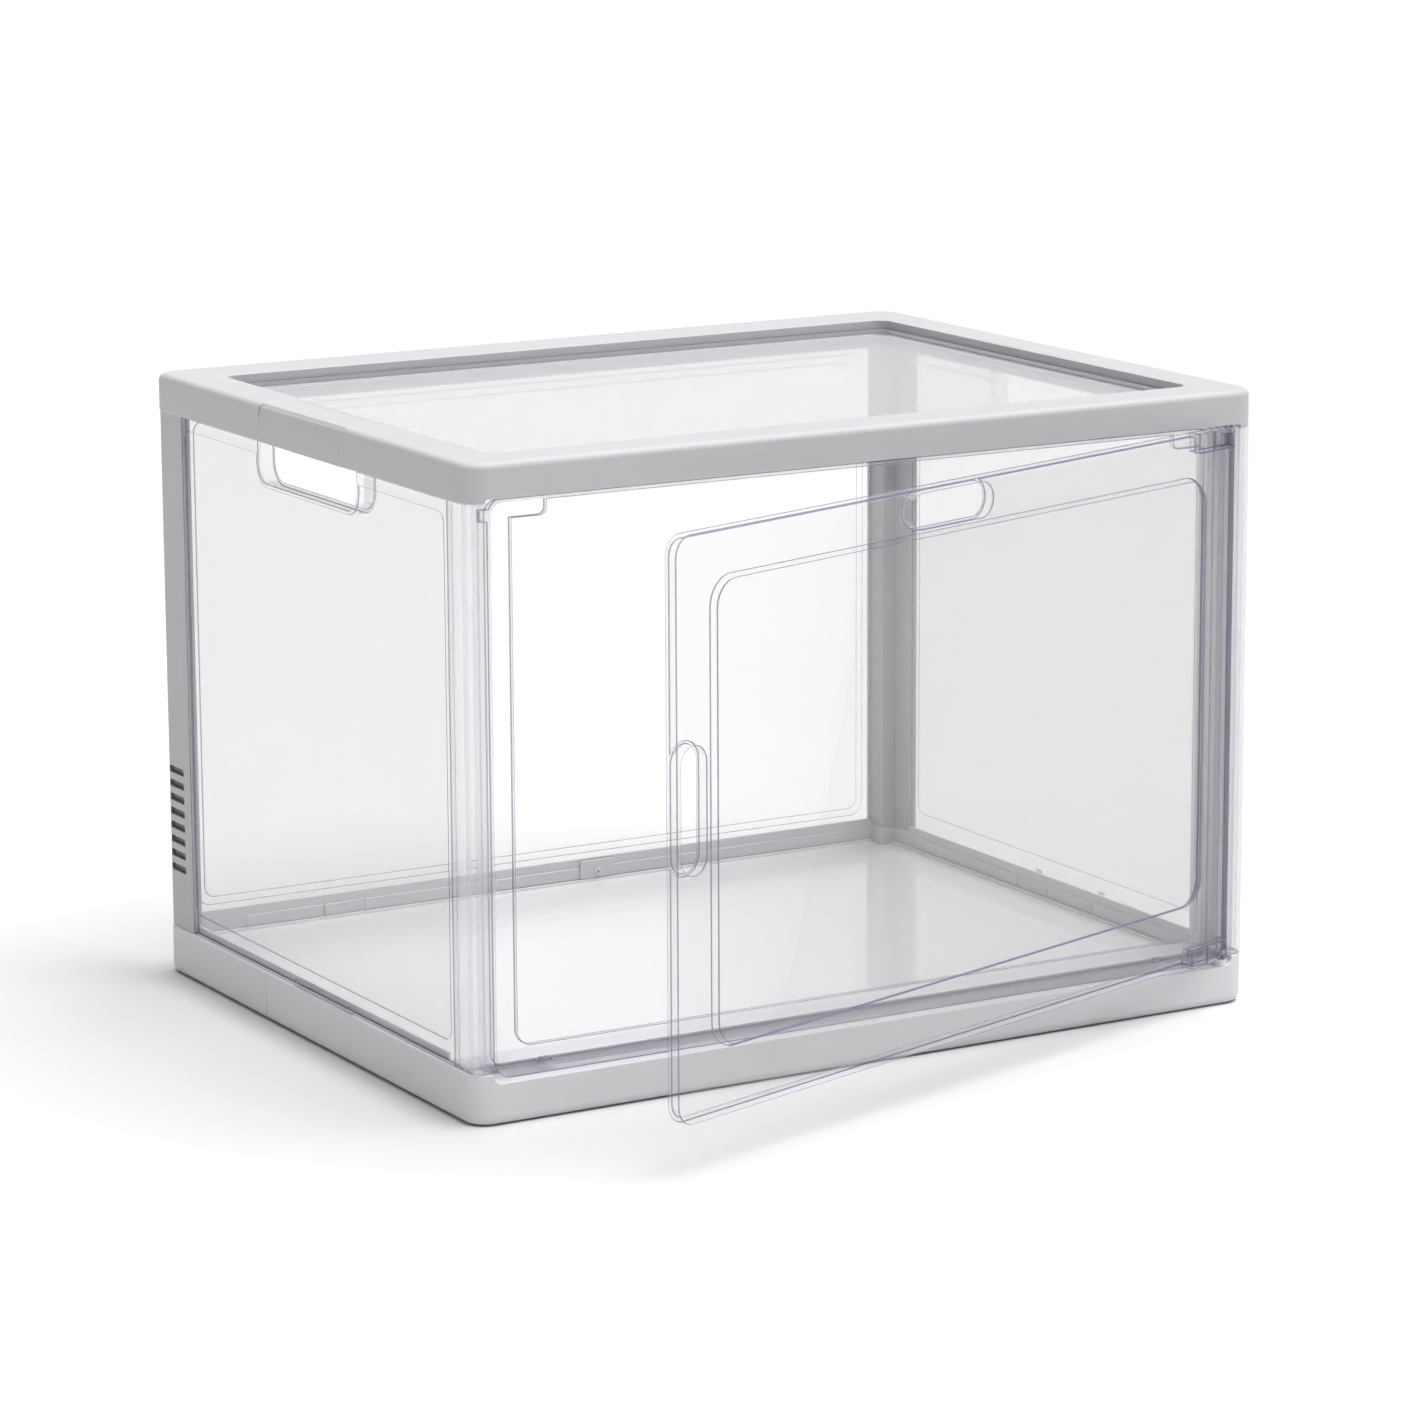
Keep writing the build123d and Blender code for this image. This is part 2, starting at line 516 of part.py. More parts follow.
def door_slot(middle_x, middle_z, upright, grow, y):
    """Stadium-shaped finger slot, grown by an amount."""
    length, width = SLOT_LENGTH / 2 + grow, SLOT_WIDTH / 2 + grow
    half_x, half_z = (width, length) if upright else (length, width)
    return front_slab((middle_x - half_x, middle_x + half_x), y, (middle_z - half_z, middle_z + half_z), width - 0.01)


def door_closed():
    """Clear door in its closed place."""
    y = (FRONT, FRONT + DOOR_THICKNESS)
    z = (DOOR_LOW, DOOR_HIGH)
    outline = front_slab((DOOR_FREE_X, DOOR_HINGE_X + DOOR_CORNER), y, z, DOOR_CORNER)
    outline &= front_slab((DOOR_FREE_X - DOOR_CORNER, DOOR_HINGE_X), y, z, DOOR_HINGE_CORNER)
    door = outline & door_capsule(z)
    sheet_back = FRONT + DOOR_SHEET
    pocket_x = (DOOR_FREE_X + DOOR_RIM, DOOR_HINGE_X - DOOR_THICKNESS)
    door -= front_slab(pocket_x, (sheet_back, y[1] + 1), (z[0] + DOOR_RIM, z[1] - DOOR_RIM), DOOR_CORNER - DOOR_RIM)
    field_x = (DOOR_FREE_X + FIELD_FREE_MARGIN, DOOR_HINGE_X - FIELD_HINGE_MARGIN)
    field_z = (z[0] + FIELD_BOTTOM_MARGIN, z[1] - FIELD_TOP_MARGIN)
    band = FIELD_BAND
    door += front_slab((field_x[0] - band, field_x[1] + band), (sheet_back, sheet_back + FIELD_STEP),
                       (field_z[0] - band, field_z[1] + band), FIELD_CORNER + band)
    door -= front_slab(field_x, (y[0] - 1, y[0] + FIELD_STEP), field_z, FIELD_CORNER)
    slots = [(DOOR_FREE_X + SIDE_SLOT_INSET, DOOR_LOW + SIDE_SLOT_HEIGHT, True),
             (DOOR_FREE_X + TOP_SLOT_ALONG, DOOR_HIGH - TOP_SLOT_INSET, False)]
    for slot in slots:
        door += door_slot(*slot, SLOT_LIP, (sheet_back - 1, y[1])) & outline
    for slot in slots:
        door -= door_slot(*slot, 0, (y[0] - 1, y[1] + 1))
    door -= pivot_box(DOOR_LOW - 1, PIVOT_LOW + PIVOT_HEIGHT, SEAM)
    return door - pivot_box(DOOR_HIGH - PIVOT_HEIGHT, DOOR_HIGH + 1, SEAM)


def pivot_block(upper):
    """Clear block in a hinge-side corner of the door, with its pin."""
    low = DOOR_HIGH - PIVOT_HEIGHT if upper else PIVOT_LOW
    z = (low, low + PIVOT_HEIGHT)
    # The corner is round at the outer end only.
    tall = (low - 3 * DOOR_CORNER, z[1]) if upper else (low, z[1] + 3 * DOOR_CORNER)
    outline = front_slab((DOOR_FREE_X, DOOR_HINGE_X), (FRONT, FRONT + DOOR_THICKNESS), tall, DOOR_HINGE_CORNER)
    piece = outline & door_capsule(tall) & pivot_box(*z, 0)
    groove_x = DOOR_HINGE_X - PIVOT_LENGTH + (PIVOT_LENGTH - DOOR_THICKNESS) / 2
    piece -= block((groove_x, groove_x + PIVOT_GROOVE), (FRONT - 1, FRONT + PIVOT_GROOVE), (z[0] - 1, z[1] + 1))
    pin_z = (z[1] - PIVOT_HEIGHT / 2, z[1] + PIN_LENGTH) if upper else (z[0] - PIN_LENGTH, z[0] + PIVOT_HEIGHT / 2)
    return piece + upright_pin(PIVOT_X, PIVOT_Y, pin_z, PIN_RADIUS)


def swing(part):
    """Turn a closed door piece about the pivot to its rest angle."""
    return Pos(PIVOT_X, PIVOT_Y, 0) * Rot(0, 0, DOOR_REST_ANGLE) * Pos(-PIVOT_X, -PIVOT_Y, 0) * part


def panel_clip(side):
    """Clear snap bar on the outer foot of a side wall, hooked at both ends."""
    x = (LEFT + WALL_INSET - SNAP_THICKNESS, LEFT + WALL_INSET)
    y = (SNAP_FROM_MIDDLE - SNAP_LENGTH / 2, SNAP_FROM_MIDDLE + SNAP_LENGTH / 2)
    clip = block(x, y, (BASE_HEIGHT, BASE_HEIGHT + SNAP_HEIGHT))
    for end in (y[0], y[1] - SNAP_HOOK):
        clip += block(x, (end, end + SNAP_HOOK), (BASE_HEIGHT, BASE_HEIGHT + SNAP_HOOK_HEIGHT))
    return clip if side < 0 else mirror(clip, about=Plane.YZ)


def rear_lock_tab():
    """Grey tab with a round boss on the inner face of the rear rim."""
    x = (LOCK_TAB_FROM_MIDDLE - LOCK_TAB_WIDTH / 2, LOCK_TAB_FROM_MIDDLE + LOCK_TAB_WIDTH / 2)
    low = FLOOR_Z + FLOOR_BEAD + SEAM
    back = RIM_REAR - PAD_THICKNESS
    face = back - LOCK_TAB_THICKNESS
    tab = front_slab(x, (face, back), (low, low + LOCK_TAB_HEIGHT), EDGE_FILLET)
    middle = (LOCK_TAB_FROM_MIDDLE, face, low + LOCK_TAB_HEIGHT / 3)
    ring = Circle(LOCK_BOSS_RADIUS) - Circle(LOCK_BOSS_RADIUS / 2)
    boss = Plane(middle, x_dir=(1, 0, 0), z_dir=(0, -1, 0)) * ring
    return tab + extrude(boss, amount=LOCK_BOSS_HEIGHT)


NODES = {
    "base_tray": base_tray(),
    "floor_panel": floor_panel(),
    "top_frame": top_frame(),
    "top_window": top_window(),
    "rear_panel": rear_panel(),
    "hinge_jamb": hinge_jamb(),
    "front_frame": front_frame(),
    "frame_clips": frame_clips(),
    "rear_lock_tab": rear_lock_tab(),
    "door": swing(door_closed()),
    "door_pivot_upper": swing(pivot_block(True)),
    "door_pivot_lower": swing(pivot_block(False)),
}
for name, side in (("left", -1), ("right", 1)):
    NODES["grip_cap_" + name] = grip_cap(side)
    NODES["rear_post_" + name] = rear_post(side)
    NODES["front_post_" + name] = front_post(side)
    NODES["side_panel_" + name] = side_panel(side)
    NODES["panel_clip_" + name] = panel_clip(side)

os.makedirs("parts", exist_ok=True)
for node, shape in NODES.items():
    export_step(shape, f"parts/{node}.step")
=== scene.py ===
import math

import bmesh
import bpy
from bpy.props import FloatProperty, FloatVectorProperty, PointerProperty
from mathutils import Matrix, Vector


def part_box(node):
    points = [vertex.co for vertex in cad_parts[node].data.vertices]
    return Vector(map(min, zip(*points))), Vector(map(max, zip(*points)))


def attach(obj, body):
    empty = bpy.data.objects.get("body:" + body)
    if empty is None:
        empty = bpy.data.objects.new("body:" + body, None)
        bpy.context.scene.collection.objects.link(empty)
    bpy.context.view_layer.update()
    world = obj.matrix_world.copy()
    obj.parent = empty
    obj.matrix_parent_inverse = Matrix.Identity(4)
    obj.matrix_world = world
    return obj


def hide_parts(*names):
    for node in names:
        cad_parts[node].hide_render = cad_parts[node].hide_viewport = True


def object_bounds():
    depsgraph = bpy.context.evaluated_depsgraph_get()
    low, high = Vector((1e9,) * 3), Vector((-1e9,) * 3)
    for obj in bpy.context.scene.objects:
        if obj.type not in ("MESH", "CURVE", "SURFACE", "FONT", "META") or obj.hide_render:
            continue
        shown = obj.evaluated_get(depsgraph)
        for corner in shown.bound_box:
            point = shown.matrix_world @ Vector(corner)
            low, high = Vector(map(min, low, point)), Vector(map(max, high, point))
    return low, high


bl_info = {
    "name": "Stackable Shoe Box",
    "version": (1, 0, 0),
    "blender": (4, 5, 0),
    "location": "3D View > Sidebar > Shoe Box",
    "description": "Finishes the moulded, clear and glossy pieces of a stackable shoe box",
    "category": "Object",
}

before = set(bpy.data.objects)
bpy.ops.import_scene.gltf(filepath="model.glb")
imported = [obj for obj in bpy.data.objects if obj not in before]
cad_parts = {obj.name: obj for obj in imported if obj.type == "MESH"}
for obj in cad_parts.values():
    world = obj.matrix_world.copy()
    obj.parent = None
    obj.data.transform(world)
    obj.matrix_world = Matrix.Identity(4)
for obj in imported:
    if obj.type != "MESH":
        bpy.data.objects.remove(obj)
PACKED_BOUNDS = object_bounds()
MM = 0.001

# Clear finishes: opacity of open faces, extra opacity edge-on, density of edge lines, and whether they are
# milky. The edge-on rise lets the lit tint show at grazing angles, partly real gloss and partly painted
# reflection; milky pieces also get a foot of painted light.
CLEAR_FINISHES = {
    "clear_wall": (0.035, 0.22, 0.55, False),
    "clear_front": (0.03, 0.22, 0.62, True),
    "clear_post": (0.10, 0.22, 0.17, True),
    "clear_window": (0.04, 0.62, 0.45, False),
    "clear_door": (0.04, 0.22, 0.66, False),
}
SIDE_HAZE = 0.10  # of the narrow faces round a clear sheet
FOOT_PAINTED_LIGHT = 0.45  # painted light: more opacity, in the light milky tint, of milky pieces where they stand in the base, laid over the shade of the pocket behind them
FOOT_TOP = 20.5 * MM  # top of the base's front rail
FOOT_FADE = 0.4 * MM
EDGE_HIGHLIGHT = 1.12  # painted highlight: lightness of the edges of grey mouldings against their faces

# Places in a clear piece's list of materials.
OPEN_FACE, SIDE_FACE, EDGE_LINE = 0, 1, 2

# Grey groups: brightness against the main grey, then the imported nodes. They are one grey plastic; the
# lighter base and hinge jamb are painted light.
GREY_GROUPS = {
    # painted light: the base is lightened to stand in for more light than the scene gives it
    "base_painted_light_grey": (1.24, ["base_tray", "rear_lock_tab"]),
    "top_grey": (1.0, ["top_frame", "grip_cap_left", "grip_cap_right"]),
    "post_grey": (0.97, ["rear_post_left", "rear_post_right"]),
    # painted light: the jamb is lightened to make up for the shade of the clear layers in front of it
    "jamb_painted_light_grey": (1.45, ["hinge_jamb"]),
}
WALL_NODES = ["rear_panel", "side_panel_left", "side_panel_right"]
POST_NODES = ["front_post_left", "front_post_right", "frame_clips", "panel_clip_left", "panel_clip_right"]
DOOR_NODES = ["door", "door_pivot_upper", "door_pivot_lower"]


# --- shader building ---

class Wire:
    """A node's output that can be used in Python maths."""

    def __init__(self, finish, socket):
        self.finish = finish
        self.socket = socket

    def math(self, operation, *others):
        values = dict(enumerate((self, *others)))
        return self.finish.node("ShaderNodeMath", {"operation": operation}, values)

    def __add__(self, other):
        return self.math("ADD", other)

    def __mul__(self, other):
        return self.math("MULTIPLY", other)

    def __sub__(self, other):
        return self.math("SUBTRACT", other)

    def __rsub__(self, other):
        return self.finish.node("ShaderNodeMath", {"operation": "SUBTRACT"}, {0: other, 1: self})

    __radd__ = __add__
    __rmul__ = __mul__

    def ramp(self, low, high):
        """0 below low, 1 above high, and smooth between."""
        span = {"Value": self, "From Min": low, "From Max": high}
        return self.finish.node("ShaderNodeMapRange", {"interpolation_type": "SMOOTHSTEP"}, span)


class Finish:
    """A material and its nodes."""

    def __init__(self, name):
        self.material = bpy.data.materials.new(name)
        self.material.use_nodes = True
        self.tree = self.material.node_tree
        self.tree.nodes.clear()
        self.place = self.node("ShaderNodeTexCoord", output="Object")

    @classmethod
    def of_tree(cls, tree):
        """A finish for a node tree that isn't a material's."""
        made = cls.__new__(cls)
        made.tree = tree
        tree.nodes.clear()
        return made

    def node(self, kind, settings=None, sockets=None, output=0):
        """Adds one node: its settings first, then the values or links of its sockets."""
        made = self.tree.nodes.new(kind)
        for key, value in (settings or {}).items():
            setattr(made, key, value)
        for key, value in (sockets or {}).items():
            if isinstance(value, Wire):
                self.tree.links.new(value.socket, made.inputs[key])
            else:
                made.inputs[key].default_value = value
        return Wire(self, made.outputs[output]) if made.outputs else None

    def noise(self, scale, detail=2.0, stretch=(1, 1, 1)):
        """Noise from 0 to 1 in object space, with the scale in features per metre."""
        place = self.node("ShaderNodeVectorMath", {"operation": "MULTIPLY"}, {0: self.place, 1: stretch})
        return self.node("ShaderNodeTexNoise", None, {"Vector": place, "Scale": scale, "Detail": detail})

    def blend(self, factor, first, second):
        """Mix of two colours."""
        return self.node("ShaderNodeMix", {"data_type": "RGBA"}, {0: factor, 6: first, 7: second}, 2)

    def bump(self, height, strength, distance):
        """Normal from a height."""
        sockets = {"Height": height, "Strength": strength, "Distance": distance}
        return self.node("ShaderNodeBump", None, sockets)

    def shade(self, sockets):
        """Closes the material with a Principled shader and returns the material."""
        shader = self.node("ShaderNodeBsdfPrincipled", None, sockets)
        self.node("ShaderNodeOutputMaterial", None, {"Surface": shader})
        return self.material


def opaque(colour, factor=1.0):
    """RGBA of a colour, made lighter or darker by a factor."""
    return tuple(min(1.0, part * factor) for part in colour[:3]) + (1.0,)


def moulded_grey(name, tone, smoothness):
    """Satin grey moulding: fine grain, faint flow clouds and rubbed patches."""
    finish = Finish(name)
    clouds = finish.noise(14, 3)
    grain = finish.noise(1800, 2)
    rubbed = finish.noise(60, 6, (1, 1, 9)).ramp(0.62, 0.8)
    return finish.shade({
        "Base Color": finish.blend(clouds, opaque(tone, 0.97), opaque(tone, 1.03)),
        "Roughness": 0.46 - smoothness + clouds * 0.08 - rubbed * 0.06,
        "Normal": finish.bump(grain, 0.12, 0.05 * MM),
        "Specular IOR Level": 0.4,
    })


def grey_set(look, name, factor):
    """The two finishes of a grey moulding: its faces, and its edges, a little glossier as if polished by
    handling and painted lighter as a highlight.
    """
    return [moulded_grey(name + "_face", opaque(look.grey, factor), 0.0),
            moulded_grey(name + "_edge", opaque(look.grey, factor * EDGE_HIGHLIGHT), 0.08)]


def clear_plastic(name, tint, density, sheen, foot=0.0):
    """See-through moulding with faint hazy flow clouds, hairline marks, a Fresnel rise in opacity that is
    partly painted reflection and, if asked, a denser foot of painted light.
    """
    finish = Finish(name)
    clouds = finish.noise(9, 2)
    hairs = finish.noise(40, 8, (1, 1, 14)).ramp(0.66, 0.8)
    gloss = finish.node("ShaderNodeFresnel", None, {"IOR": 1.3})
    # gloss * sheen: the lit tint shows more at grazing angles, partly painted reflection
    opacity = density + clouds * 0.01 + hairs * 0.01 + gloss * sheen
    # painted light: the foot lays the light tint over the shade of the pocket behind it
    if foot:
        height = finish.node("ShaderNodeSeparateXYZ", None, {0: finish.place}, "Z")
        opacity = opacity + (1 - height.ramp(FOOT_TOP - FOOT_FADE, FOOT_TOP)) * foot
    return finish.shade({
        "Base Color": finish.blend(clouds, opaque(tint, 0.98), opaque(tint, 1.02)),
        "Roughness": 0.06 + clouds * 0.03 + hairs * 0.08,
        "IOR": 1.49,
        "Alpha": opacity,
        "Normal": finish.bump(clouds, 0.05, 0.2 * MM),
    })


def clear_set(look, name):
    """The three finishes of a clear piece: open faces, side faces and edge lines, the edge lines darkened
    partly as painted shade.
    """
    opacity, sheen, edge_haze, is_milky = CLEAR_FINISHES[name]
    tint, foot = (look.clear_side, FOOT_PAINTED_LIGHT) if is_milky else (look.clear, 0.0)
    return [clear_plastic(name + "_face", tint, opacity, sheen, foot),
            clear_plastic(name + "_side", look.clear_side, SIDE_HAZE, sheen),
            clear_plastic(name + "_edge", look.clear_edge, edge_haze, sheen)]


def glossy_sheet(look):
    """Glossy pale floor sheet with soft scuffs."""
    finish = Finish("glossy_sheet")
    clouds = finish.noise(11, 3)
    scuffs = finish.noise(55, 7, (1, 6, 1)).ramp(0.6, 0.78)
    colour = finish.blend(clouds, opaque(look.sheet, 0.985), opaque(look.sheet, 1.015))
    return finish.shade({
        "Base Color": colour,
        "Roughness": 0.09 + clouds * 0.04 + scuffs * 0.10,
        "Specular IOR Level": 0.7,
        "Coat Weight": 0.8,
        "Coat Roughness": 0.05,
        "Normal": finish.bump(clouds, 0.04, 0.3 * MM),
    })


# --- meshes ---

MERGE_REACH = 0.002 * MM
SHARP_TURN = math.radians(32)  # edges that turn more than this are rounded
SAME_SIDE = 0.7  # faces whose normals agree this much are shaded as one
STEEP = 0.5  # a sheet's side faces agree less than this with its open faces


def linked(name, work, materials):
    """Scene object made from an editable mesh, which is used up."""
    mesh = bpy.data.meshes.new(name)
    work.to_mesh(mesh)
    work.free()
    for material in materials:
        mesh.materials.append(material)
    made = bpy.data.objects.new(name, mesh)
    bpy.context.scene.collection.objects.link(made)
    return made


def softened(node, rounding):
    """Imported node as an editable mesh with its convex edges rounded, and the new edge faces."""
    work = bmesh.new()
    work.from_mesh(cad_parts[node].data)
    bmesh.ops.remove_doubles(work, verts=work.verts, dist=MERGE_REACH)
    sharp = [e for e in work.edges if len(e.link_faces) == 2 and e.is_convex
             and e.calc_face_angle() > SHARP_TURN]
    made = bmesh.ops.bevel(work, geom=sharp, offset=rounding, segments=2, profile=0.5,
                           affect="EDGES", clamp_overlap=False)
    return work, set(made["faces"])


def corner_normals(work, edge_faces):
    """Normals that keep open faces flat and run smoothly over the rounded edges."""
    areas = {face: face.calc_area() for face in work.faces}
    normals = []
    for face in work.faces:
        for corner in face.verts:
            near = [other for other in corner.link_faces if other.normal.dot(face.normal) > SAME_SIDE]
            open_faces = [other for other in near if other not in edge_faces]
            total = sum((other.normal * areas[other] for other in open_faces or near), Vector())
            normals.append(total.normalized() if total.length > 0 else face.normal.copy())
    return normals


def finished_piece(work, edge_faces, node, name, body, materials):
    """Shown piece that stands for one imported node."""
    normals = corner_normals(work, edge_faces)
    piece = linked(name, work, materials)
    piece.data.shade_smooth()
    piece.data.normals_split_custom_set(normals)
    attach(piece, body)
    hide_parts(node)


def grey_piece(node, look, body, materials):
    """Opaque moulding with softened edges."""
    work, edge_faces = softened(node, look.rounding)
    # the edge faces get the last finish: painted-highlight edges for a grey set
    for face in edge_faces:
        face.material_index = len(materials) - 1
    finished_piece(work, edge_faces, node, node + "_moulding", body, materials)


def clear_piece(node, look, body, materials, rounding, is_sheet=True):
    """Clear moulding whose edges, and a sheet's side faces, read denser than its open faces."""
    work, edge_faces = softened(node, rounding)
    across = max(work.faces, key=lambda face: face.calc_area()).normal.copy()
    for face in work.faces:
        if face in edge_faces:
            face.material_index = EDGE_LINE
        elif is_sheet and abs(face.normal.dot(across)) < STEEP:
            reach = [v.co.dot(across) for v in face.verts]
            is_step = max(reach) - min(reach) < look.step_height
            face.material_index = EDGE_LINE if is_step else SIDE_FACE
        else:
            face.material_index = OPEN_FACE
    finished_piece(work, edge_faces, node, node + "_clear", body, materials)


# --- vents ---

VENT_COUNT = 8
VENT_PITCH = 6.0 * MM
VENT_HEIGHT = 3.0 * MM
VENT_CORNER = 0.6 * MM
VENT_LENGTH = 15.0 * MM
VENT_DEPTH = 2.2 * MM
VENT_LOWEST = 24.0 * MM  # first slot above the foot of the post
VENT_FROM_REAR = 3.3 * MM  # in from the rear face of the post
VENT_MOUTH = 0.9 * MM  # the painted-shade liners start this far inside the slot
VENT_PLAY = 0.06 * MM


def vent_painted_shade():
    """Painted shade: dark grey laid into the depth of the vent slots, where only shade falls."""
    finish = Finish("vent_painted_shade")
    clouds = finish.noise(200, 3)
    return finish.shade({
        "Base Color": finish.blend(clouds, (0.32, 0.32, 0.325, 1), (0.38, 0.38, 0.385, 1)),
        "Roughness": 0.7 + clouds * 0.1,
    })


def rounded_outline(low, high, radius, steps):
    """Points round a rounded rectangle between two (across, up) corners."""
    middles = [(high[0] - radius, high[1] - radius), (low[0] + radius, high[1] - radius),
               (low[0] + radius, low[1] + radius), (high[0] - radius, low[1] + radius)]
    points = []
    for quarter, middle in enumerate(middles):
        for step in range(steps + 1):
            turn = math.radians(90) * (quarter + step / steps)
            points.append((middle[0] + radius * math.cos(turn), middle[1] + radius * math.sin(turn)))
    return points


def vent_shade_liners(side, material):
    """Painted shade: dark open cups inside the vent slots of one rear post."""
    low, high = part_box("rear_post_" + side)
    outer, inward = (low.x, 1) if side == "left" else (high.x, -1)
    rear = high.y - VENT_FROM_REAR - VENT_PLAY
    work = bmesh.new()
    for row in range(VENT_COUNT):
        foot = low.z + VENT_LOWEST + row * VENT_PITCH + VENT_PLAY
        outline = rounded_outline((rear - VENT_LENGTH + 2 * VENT_PLAY, foot),
                                  (rear, foot + VENT_HEIGHT - 2 * VENT_PLAY), VENT_CORNER, 4)
        loops = [[work.verts.new((outer + inward * depth, y, z)) for y, z in outline]
                 for depth in (VENT_MOUTH, VENT_DEPTH)]
        for step in range(len(outline)):
            ahead = (step + 1) % len(outline)
            work.faces.new((loops[0][step], loops[0][ahead], loops[1][ahead], loops[1][step]))
        work.faces.new(loops[1])
    bmesh.ops.recalc_face_normals(work, faces=work.faces)
    piece = linked("vent_shade_liners_" + side, work, [material])
    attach(piece, "box_body")


# --- stage ---

LENS = 134.0
SENSOR = 36.0
AZIMUTH = math.radians(-30.136)
ELEVATION = math.radians(11.995)
ROLL = math.radians(-0.269)
DISTANCE = 2.163668
SHIFT_RIGHT = 2.229 * MM
SHIFT_DOWN = 7.589 * MM
SUN_SPREAD, SUN_TURN, SUN_HEIGHT = 55, 55, 70  # degrees
OVERHEAD_FADE = (0.6, 0.95)  # height of a direction where the light from above starts and is full
BACKDROP_WAY = (0.49, 0.85, 0.20)  # direction of the middle of the lit backdrop
BACKDROP_FADE = (0.8, 0.95)
AMBIENT = 0.02  # glow from every other direction
FLOOR_RINGS = [(3.0, 0.0), (9.0, 0.0), (11.0, 0.25), (12.5, 1.2), (13.2, 3.0)]  # radius, height
FLOOR_SIDES = 64
VIEW_GAMMA = 0.82


def add_camera(middle):
    """Camera that looks at the box from the front left, a little from above."""
    level = math.cos(ELEVATION)
    back = Vector((math.sin(AZIMUTH) * level, -math.cos(AZIMUTH) * level, math.sin(ELEVATION)))
    right = Vector((math.cos(AZIMUTH), math.sin(AZIMUTH), 0))
    up = back.cross(right)
    place = middle + back * DISTANCE + right * SHIFT_RIGHT - up * SHIFT_DOWN
    turned = right * math.cos(ROLL) + up * math.sin(ROLL)
    up = up * math.cos(ROLL) - right * math.sin(ROLL)
    data = bpy.data.cameras.new("view_camera")
    data.lens = LENS
    data.sensor_width = SENSOR
    camera = bpy.data.objects.new("view_camera", data)
    camera.matrix_world = Matrix.Translation(place) @ Matrix((turned, up, back)).transposed().to_4x4()
    bpy.context.scene.collection.objects.link(camera)
    bpy.context.scene.camera = camera


def add_sun(name, strength, spread, turn, height):
    """Soft sun of a spread, from a compass turn and a height, all in degrees."""
    data = bpy.data.lights.new(name, "SUN")
    data.energy = strength
    data.angle = math.radians(spread)
    light = bpy.data.objects.new(name, data)
    light.rotation_euler = (math.radians(90 - height), 0, math.radians(turn))
    bpy.context.scene.collection.objects.link(light)


def add_overhead_light(look):
    """Broad light from overhead that fades towards the horizon, with a lit backdrop behind."""
    world = bpy.data.worlds.new("studio")
    world.use_nodes = True
    sky = Finish.of_tree(world.node_tree)
    way = sky.node("ShaderNodeTexCoord", output="Generated")
    height = sky.node("ShaderNodeSeparateXYZ", None, {0: way}, "Z")
    ways = {0: way, 1: BACKDROP_WAY}
    behind = sky.node("ShaderNodeVectorMath", {"operation": "DOT_PRODUCT"}, ways, "Value")
    above = height.ramp(*OVERHEAD_FADE) * look.sky
    glow = above + behind.ramp(*BACKDROP_FADE) * look.backdrop + AMBIENT
    shade = sky.node("ShaderNodeBackground", None, {"Color": (1.0, 1.0, 1.0, 1.0), "Strength": glow})
    sky.node("ShaderNodeOutputWorld", None, {"Surface": shade})
    bpy.context.scene.world = world


def add_floor(look):
    """Pale floor disc with a low curved backdrop far behind."""
    finish = Finish("studio_floor")
    cloud = finish.noise(3, 2)
    colour = finish.blend(cloud, opaque((0.75, 0.75, 0.75)), opaque((0.77, 0.77, 0.77)))
    material = finish.shade({"Base Color": colour, "Roughness": 0.9})
    work = bmesh.new()
    turns = [2 * math.pi * step / FLOOR_SIDES for step in range(FLOOR_SIDES)]
    loops = [[work.verts.new((radius * math.cos(t), radius * math.sin(t), height)) for t in turns]
             for radius, height in FLOOR_RINGS]
    work.faces.new(loops[0])
    for low, high in zip(loops, loops[1:]):
        for step in range(FLOOR_SIDES):
            ahead = (step + 1) % FLOOR_SIDES
            work.faces.new((low[step], low[ahead], high[ahead], high[step]))
    bmesh.ops.recalc_face_normals(work, faces=work.faces)
    floor = linked("studio_floor", work, [material])
    floor.data.shade_smooth()


class Look(bpy.types.PropertyGroup):
    """Colours and sizes of the finish."""

    grey: FloatVectorProperty(name="Grey", description="Colour of the grey mouldings", subtype="COLOR",
                              size=3, default=(0.60, 0.60, 0.617), min=0, max=1)
    sheet: FloatVectorProperty(name="Floor sheet", description="Colour of the floor sheet", subtype="COLOR",
                               size=3, default=(0.92, 0.92, 0.93), min=0, max=1)
    clear: FloatVectorProperty(name="Clear", description="Tint of the clear pieces", subtype="COLOR",
                               size=3, default=(0.66, 0.66, 0.675), min=0, max=1)
    # Edge-line tint: partly the plastic's own denser colour, partly painted shade for the dark lines that
    # refraction and reflection give at rounded edges.
    clear_edge: FloatVectorProperty(name="Clear edge", description="Tint along the clear pieces' edges",
                                    subtype="COLOR", size=3, default=(0.27, 0.27, 0.37), min=0, max=1)
    clear_side: FloatVectorProperty(name="Clear side", description="Tint on the clear pieces' side faces",
                                    subtype="COLOR", size=3, default=(0.82, 0.83, 0.88), min=0, max=1)
    rounding: FloatProperty(name="Rounding", description="Radius of the grey mouldings' edges",
                            subtype="DISTANCE", default=0.3 * MM, min=0.05 * MM, max=1.0 * MM)
    clear_rounding: FloatProperty(name="Clear rounding", description="Radius of the clear pieces' edges",
                                  subtype="DISTANCE", default=0.42 * MM, min=0.05 * MM, max=1.0 * MM)
    step_height: FloatProperty(name="Step height",
                               description="Side faces lower than this read as edge lines",
                               subtype="DISTANCE", default=1.3 * MM, min=0.0, max=3.0 * MM)
    sun: FloatProperty(name="Key light", description="Strength of the key light",
                       default=2.9, min=0, max=20)
    sky: FloatProperty(name="Sky", description="Strength of the light from above",
                       default=1.2, min=0, max=5)
    backdrop: FloatProperty(name="Backdrop",
                            description="Brightness of the backdrop that glossy faces mirror",
                            default=0.72, min=0, max=5)


